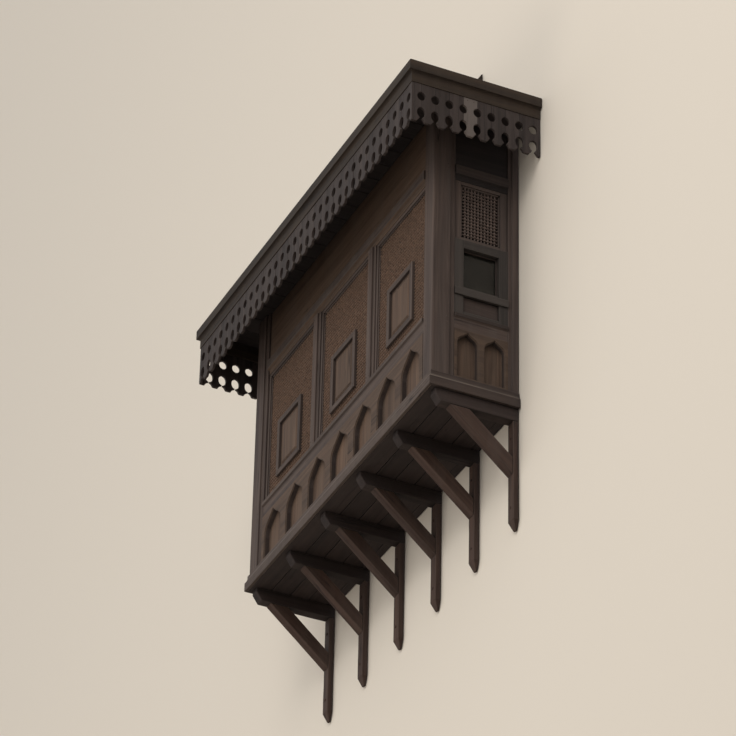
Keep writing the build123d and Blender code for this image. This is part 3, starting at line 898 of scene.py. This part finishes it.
def sawnEdge(bitten, worn):  # how far in from the board's side, and how far down, from its top to its foot
    look = fringeLook
    if not bitten:
        return [(0.0, 0.0), (0.0, look["height"])]
    points = [(0.0, 0.0)]
    for row, reach in zip(look["rows"], look["reaches"]):
        for index in range(look["steps"] + 1):
            angle = math.pi * index / look["steps"]
            points.append((look["holeHalf"] * math.sin(angle), row - reach * math.cos(angle)))
    for index in range(look["steps"] // 2):
        angle = math.pi * index / look["steps"]
        points.append((look["notchHalf"] * math.sin(angle), look["height"] - look["notch"] * math.cos(angle)))
    start, tip = look["tip"] * look["tipSlope"], look["tip"]
    points.append((look["notchHalf"] + start, look["height"] - start))
    points.append((look["notchHalf"] + tip, look["height"]))
    # the horn between the lower hole and the notch is worn short
    return [(max(inset, worn), down) if down > look["rows"][1] else (inset, down) for inset, down in points]


def fringeBoard(name, width, worn, bittenLeft=True, bittenRight=True):
    # in its own frame: x across, y up, and the outer face at z = 0
    half = width / 2 - fringeLook["seam"]
    left = [(inset - half, -down) for inset, down in sawnEdge(bittenLeft, worn)]
    right = [(half - inset, -down) for inset, down in sawnEdge(bittenRight, worn)]
    part = prismPart(left + right[::-1], (0, 0, -fringeLook["thickness"]), (0, 0, 0), (1, 0, 0), (0, 1, 0))
    return looseBoard(name, soften(part, fringeLook["edge"], 1))


def fringeTree():
    tree, given = newTree("fringeRow", {
        "Board": "Object", "First": "Object", "Last": "Object", "Count": "Int", "Pitch": "Float",
        "Pale Board": "Int", "Lean": "Float", "Slip": "Float", "Seed": "Int", "Wood": "Material",
    })
    seed, pitch, lean = given.out("Seed"), given.out("Pitch"), given.out("Lean")
    turn = given.vector(randomOn(given, -1.0, 1.0, seed + 1) * lean, 0.0,
                        randomOn(given, -1.0, 1.0, seed + 2) * lean * fringeLook["twist"])
    boards = copiesOn(rowOf(given), shapeOf(given.out("Board")), {"Rotation": turn})
    slip = given.vector(0.0, 0.0, randomOn(given, -1.0, 0.0, seed + 3) * given.out("Slip"))
    boards = boards.node("GeometryNodeTranslateInstances", None, {0: boards, "Translation": slip})
    pale = (given.node("GeometryNodeInputIndex") - given.out("Pale Board")).size() < 0.5
    tone = randomOn(given, *fringeLook["tones"], seed + 4) * (1 - pale) + pale * fringeLook["paleTone"]
    rows = [toned(boards, tone)]
    reach = (given.out("Count") * 0.5 + 0.25) * pitch  # the first and last boards are half as wide
    for name, way in (("First", -1.0), ("Last", 1.0)):
        rows.append(moved(shapeOf(given.out(name)), given.vector(reach * way)))
    endTree(given.node("GeometryNodeJoinGeometry", None, {0: rows}), given.out("Wood"))
    return tree


fringeRows = fringeTree()


def evenPitch(low, high):  # the number of boards along a wall, and how far apart they hang
    count = round((high - low) / fringeLook["pitch"])
    return count, (high - low) / count


def fringe(wall):
    name, face, worn = "fringe_" + wall, faces[wall], fringeLook["worn"][wall]
    low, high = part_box(name)
    count, pitch = evenPitch(low[face.across], high[face.across])
    made = grown(fringeRows, {
        "Board": fringeBoard("board", pitch, worn),
        "First": fringeBoard("first", pitch / 2, worn, bittenLeft=False),
        "Last": fringeBoard("last", pitch / 2, worn, bittenRight=False),
        "Count": count - 1, "Pitch": pitch, "Pale Board": fringeLook["pale"][wall],
        "Lean": fringeLook["lean"], "Slip": fringeLook["slip"], "Seed": fringeLook["seeds"][wall],
        "Wood": wood("fringe", 2),
    })
    middle = (low[face.across] + high[face.across]) / 2
    made.transform(face.turn(face.spot(middle, high.z, face.planes(low, high)[0])))
    settle(made, name + "_boards", "fringe_wood", name)


for wall in faces:
    fringe(wall)
print("fringe hung")


# Boards of the floor and of the canopy

boardLook = {"seam": 0.0022, "edge": 0.0022, "warp": 0.07, "counts": {"floor": 4, "canopy_deck": 20}}


def boardTree():
    tree, given = newTree("boardRow", {
        "Board": "Object", "Count": "Int", "Pitch": "Float", "Warp": "Float", "Seed": "Int", "Wood": "Material",
    })
    seed = given.out("Seed")
    copies = copiesOn(rowOf(given), shapeOf(given.out("Board")), {})
    size = given.vector(1.0, 1.0, 1 - randomOn(given, 0.0, 1.0, seed) * given.out("Warp"))
    copies = copies.node("GeometryNodeScaleInstances", None, {0: copies, "Scale": size})
    endTree(toned(copies, randomOn(given, -1.0, 1.0, seed + 4)), given.out("Wood"))
    return tree


boardRows = boardTree()


def boarding(name, along, finishName, slot):
    # boards that run along one way and lie side by side the other way, inside the solid's own box
    low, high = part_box(name)
    count = boardLook["counts"][name]
    side = 1 - along
    pitch = (high[side] - low[side]) / count
    half = Vector((pitch / 2 - boardLook["seam"], (high[along] - low[along]) / 2, (high.z - low.z) / 2))
    made = grown(boardRows, {
        "Board": looseBoard("board", soften(boxPart(-half, half), boardLook["edge"], 1)),
        "Count": count, "Pitch": pitch, "Warp": boardLook["warp"], "Seed": len(name),
        "Wood": wood(finishName, along),
    })
    turn = Matrix.Rotation(math.pi / 2, 4, "Z") if side == 1 else Matrix.Identity(4)
    made.transform(Matrix.Translation((low + high) / 2) @ turn)
    settle(made, name + "_boards", slot, name)


boarding("floor", 0, "boards", "frame_wood")
# painted shade: the canopy deck takes the same very dark finish as the side friezes
boarding("canopy_deck", 1, "eaves", "canopy_wood")
print("boards laid")


# Pegs and nails: wooden pegs through the tenons, and the heads of iron nails

studLook = {
    "peg": {"Radius": 0.0075, "Height": 0.0016, "Corners": 8},
    "smallPeg": {"Radius": 0.0045, "Height": 0.0012, "Corners": 8},
    "nail": {"Radius": 0.0042, "Height": 0.0018, "Corners": 8},
    "spike": {"Radius": 0.0120, "Height": 0.0060, "Corners": 6},
}
studTaper = 0.55
studSizes = (0.82, 1.12)


def studTree():
    tree, given = newTree("studs", {
        "Spots": "Object", "Radius": "Float", "Height": "Float", "Corners": "Int", "Seed": "Int",
        "Finish": "Material",
    })
    radius, height, seed = given.out("Radius"), given.out("Height"), given.out("Seed")
    head = given.node("GeometryNodeMeshCone", {"fill_type": "NGON"}, {
        "Vertices": given.out("Corners"), "Side Segments": 2, "Radius Top": radius * studTaper,
        "Radius Bottom": radius, "Depth": height * 2,
    })
    head = moved(head, head.vector(0.0, 0.0, height * -1))
    facing = given.node("GeometryNodeInputNamedAttribute", {"data_type": "FLOAT_VECTOR"}, {"Name": "facing"})
    turn = facing.node("FunctionNodeAlignRotationToVector", {"axis": "Z"}, {"Vector": facing})
    size = randomOn(given, *studSizes, seed)
    copies = copiesOn(shapeOf(given.out("Spots")), head, {"Scale": size, "Rotation": turn})
    endTree(toned(copies, randomOn(given, -1.0, 0.6, seed + 1)), given.out("Finish"))
    return tree


studShape = studTree()


def studs(name, kind, finish, slot, spots):
    # spots are pairs of a place and the way out of the wood there
    cloud = bpy.data.meshes.new("spots")
    cloud.from_pydata([place for place, facing in spots], [], [])
    ways = cloud.attributes.new("facing", "FLOAT_VECTOR", "POINT")
    for index, (place, facing) in enumerate(spots):
        ways.data[index].vector = facing
    source = bpy.data.objects.new("spots", cloud)
    made = grown(studShape, {**studLook[kind], "Spots": source, "Seed": len(name), "Finish": finish})
    settle(made, name, slot)


pegLook = {  # ups are over the underside of the solid that is named
    "ups": {"sill_rail_front": (0.016, 0.050), "frieze_front": (0.052, 0.078)},
    "inset": 0.050,  # from the rail's shoulder into the post
    "mullionUp": 0.030, "mullionAside": 0.013, "pairAside": 0.25,
}
nailLook = {
    "fringeDown": 0.017, "fringeAside": 0.020, "spikeUp": 0.14, "spikeDown": 0.10, "spikeSunk": 0.002,
    "deckAside": 0.045, "deckIn": 0.05, "deckOverFront": 0.03, "deckSunk": 0.001,
}


def inFrame(face, low, high, border, pairs=False):
    # one peg in each corner of a frame, or two, on its outer plane
    outer = face.planes(low, high)[0]
    aside, above = border
    found = []
    for across in (low[face.across] + aside / 2, high[face.across] - aside / 2):
        for up, way in ((low.z + above / 2, 1), (high.z - above / 2, -1)):
            for shift in ((-pegLook["pairAside"], pegLook["pairAside"]) if pairs else (0.0,)):
                found.append((face.spot(across, up + shift * above * way, outer), face.outward))
    return found


def joineryPegs():
    look = pegLook
    small, large = [], []
    for third in thirds:
        small += inFrame(front, *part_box("lattice_front_" + third), latticeLook["frontBorder"])
    for third in thirds:
        small += inFrame(front, *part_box("hatch_" + third), (hatchLook["border"], hatchLook["border"]), True)
    for side in sides:
        small += inFrame(faces[side], *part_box("lattice_" + side), latticeLook["sideBorder"])
    levels = [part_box(name)[0].z + over for name, ups in look["ups"].items() for over in ups]
    for up in levels:
        for side, sign in zip(sides, (-1, 1)):
            face, inset = faces[side], look["inset"]
            large.append((front.spot(sign * (postLow.x + inset), up, postLow.y), front.outward))
            large.append((face.spot(postHigh.y - inset, up, sign * postHigh.x), face.outward))
    for side in sides:
        low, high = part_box("mullion_" + side)
        for up in (low.z + look["mullionUp"], high.z - look["mullionUp"]):
            for shift in (-look["mullionAside"], look["mullionAside"]):
                large.append((front.spot((low.x + high.x) / 2 + shift, up, low.y), front.outward))
    studs("frame_pegs", "peg", wood("frame", 1), "frame_wood", large)
    studs("panel_pegs", "smallPeg", wood("frame", 1), "frame_wood", small)


def ironNails():
    look = nailLook
    iron = ironFinish()
    for wall, face in faces.items():
        low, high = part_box("fringe_" + wall)
        count, pitch = evenPitch(low[face.across], high[face.across])
        outer, up = face.planes(low, high)[0] - face.out * fringeLook["slip"], high.z - look["fringeDown"]
        spots = [(face.spot(low[face.across] + index * pitch + shift, up, outer), face.outward)
                 for index in range(1, count) for shift in (-look["fringeAside"], look["fringeAside"])]
        studs("fringe_" + wall + "_nails", "nail", iron, "fringe_wood", spots)
    spikes = []
    for number in range(1, bracketLook["count"] + 1):
        low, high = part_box("bracket_post_%d" % number)
        for level in (low.z + look["spikeUp"], high.z - look["spikeDown"]):
            spikes.append((Vector(((low.x + high.x) / 2, low.y + look["spikeSunk"], level)), front.outward))
    studs("bracket_spikes", "spike", iron, "bracket_wood", spikes)
    low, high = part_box("canopy_deck")
    boards = boardLook["counts"]["canopy_deck"]
    pitch, top = (high.x - low.x) / boards, high.z - look["deckSunk"]
    deckNails = [(Vector((low.x + (index + 0.5) * pitch + shift, y, top)), skyward)
                 for index in range(boards) for shift in (-look["deckAside"], look["deckAside"])
                 for y in (low.y + look["deckIn"], frontFace + look["deckOverFront"])]
    studs("canopy_deck_nails", "nail", iron, "canopy_wood", deckNails)


joineryPegs()
ironNails()
print("pegs and nails driven")


# Stage: a pale backdrop that shows from the front only, a pale floor far below, and soft light

stageLook = {
    "wallHalf": 30.0, "wallHigh": 20.0, "wallBehind": 0.004, "floorLevel": -13.7, "floorHalf": 60.0,
    "wallColour": (0.80, 0.72, 0.61), "floorColour": (0.50, 0.47, 0.43), "floorBounce": (0.36, 0.33, 0.30),
    # the dark of the room behind the box is painted shade
    "roomShade": (0.004, 0.004, 0.004), "roomInside": 0.06, "roomLow": 0.05,
    "sky": (0.97, 0.98, 1.0), "skyStrength": 0.62, "frontStrength": 0.62, "lowStrength": 0.12,
    "aboveBand": (-0.1, 0.8), "frontBand": (0.0, 0.9), "backdrop": (0.80, 0.82, 0.83),
    "roughness": 0.9, "gloss": 0.2,
}
lampLook = {
    "size": 8.0, "target": (0, 0, 0.8),
    "key": {"place": (10.0, -11.0, 8.0), "power": 630, "colour": (1.0, 0.97, 0.93)},
    "fill": {"place": (-2.0, -12.0, -8.0), "power": 300, "colour": (1.0, 0.94, 0.86)},
}


def inSight(start):  # 1 for what the camera sees, also as a reflection or through glass
    path = start.node("ShaderNodeLightPath")
    mirrored = start.sum("MAXIMUM", path.out("Is Glossy Ray"), path.out("Is Transmission Ray"))
    return start.sum("MAXIMUM", path.out("Is Camera Ray"), mirrored)


def eitherOf(share, low, high):
    return share.node("ShaderNodeMixShader", None, {0: share, 1: low, 2: high})


def stageSheet(name, corners):
    sheet = bpy.data.meshes.new(name)
    sheet.from_pydata(corners, [], [(0, 1, 2, 3)])
    material = bpy.data.materials.new(name)
    sheet.materials.append(material)
    start = cleared(material)
    behind = start.node("ShaderNodeNewGeometry").out("Backfacing")
    clear = start.node("ShaderNodeBsdfTransparent")
    return linked(bpy.data.objects.new(name, sheet)), start, inSight(start), behind, clear


def matt(colour, bounce, seen):  # one colour in sight, another where it only gives light
    return seen.node("ShaderNodeBsdfPrincipled", None, {
        "Base Color": mixed(bounce, colour, seen),
        "Roughness": stageLook["roughness"], "Specular IOR Level": stageLook["gloss"],
    })


def stageWall():
    look = stageLook
    half, high, low, y = look["wallHalf"], look["wallHigh"], look["floorLevel"], look["wallBehind"]
    corners = [(-half, y, low), (half, y, low), (half, y, high), (-half, y, high)]
    piece, start, seen, behind, clear = stageSheet("backdrop", corners)
    # painted shade: dark behind the box, standing in for the unlit room there
    place = start.node("ShaderNodeTexCoord").out("Object")
    x, z = place.part("X"), place.part("Z")
    opening = (x.size() < halfWidth - look["roomInside"]) * (z > look["roomLow"]) * (z < soffit)
    dark = start.node("ShaderNodeBsdfDiffuse", None, {"Color": (*look["roomShade"], 1.0)})
    wall = eitherOf(opening, matt(look["wallColour"], look["wallColour"], seen), dark)
    # it gives no light, and from behind it is clear
    result = eitherOf(seen * (1 - behind), clear, wall)
    start.node("ShaderNodeOutputMaterial", None, {"Surface": result})


def stageFloor():
    half, z = stageLook["floorHalf"], stageLook["floorLevel"]
    corners = [(-half, -half, z), (half, -half, z), (half, half, z), (-half, half, z)]
    piece, start, seen, behind, clear = stageSheet("floor_stage", corners)
    result = eitherOf(behind, matt(stageLook["floorColour"], stageLook["floorBounce"], seen), clear)
    start.node("ShaderNodeOutputMaterial", None, {"Surface": result})


def softWorld():
    # brightest in front of the wall and above, dim behind it and below
    look = stageLook
    world = bpy.data.worlds.new("studio")
    bpy.context.scene.world = world
    start = cleared(world)
    direction = start.node("ShaderNodeTexCoord").out("Generated")
    above = direction.part("Z").within(*look["aboveBand"])
    before = (direction.part("Y") * -1).within(*look["frontBand"])
    strength = look["lowStrength"] + above * look["skyStrength"] + before * look["frontStrength"]
    light = start.node("ShaderNodeBackground", None, {"Color": (*look["sky"], 1.0), "Strength": strength})
    picture = start.node("ShaderNodeBackground", None, {"Color": (*look["backdrop"], 1.0), "Strength": 1.0})
    start.node("ShaderNodeOutputWorld", None, {"Surface": eitherOf(inSight(start), light, picture)})


def areaLamp(name):
    look = lampLook[name]
    lamp = bpy.data.lights.new(name, "AREA")
    lamp.shape = "DISK"
    lamp.size = lampLook["size"]
    lamp.energy = look["power"]
    lamp.color = look["colour"]
    piece = linked(bpy.data.objects.new(name, lamp))
    piece.location = look["place"]
    piece.rotation_mode = "QUATERNION"
    piece.rotation_quaternion = (Vector(lampLook["target"]) - piece.location).to_track_quat("-Z", "Y")


stageWall()
stageFloor()
softWorld()
areaLamp("key")
areaLamp("fill")


# Camera, far below and to the right, as in the photograph

cameraLook = {
    "place": (17.74, -8.38, -12.05), "up": (0.3245, -0.1715, 0.9302),
    "target": (0.02, -0.36, 0.83), "lens": 198.0, "sensor": 36.0, "farthest": 200.0,
}


def aimCamera():
    look = cameraLook
    lens = bpy.data.cameras.new("camera")
    lens.lens = look["lens"]
    lens.sensor_width = look["sensor"]
    lens.clip_end = look["farthest"]
    camera = linked(bpy.data.objects.new("camera", lens))
    place = Vector(look["place"])
    back = (place - Vector(look["target"])).normalized()
    right = Vector(look["up"]).cross(back).normalized()
    turn = Matrix((right, back.cross(right), back)).transposed()
    camera.matrix_world = Matrix.Translation(place) @ turn.to_4x4()
    bpy.context.scene.camera = camera


aimCamera()
bpy.context.scene.view_settings.view_transform = "Standard"

print("scene ready")
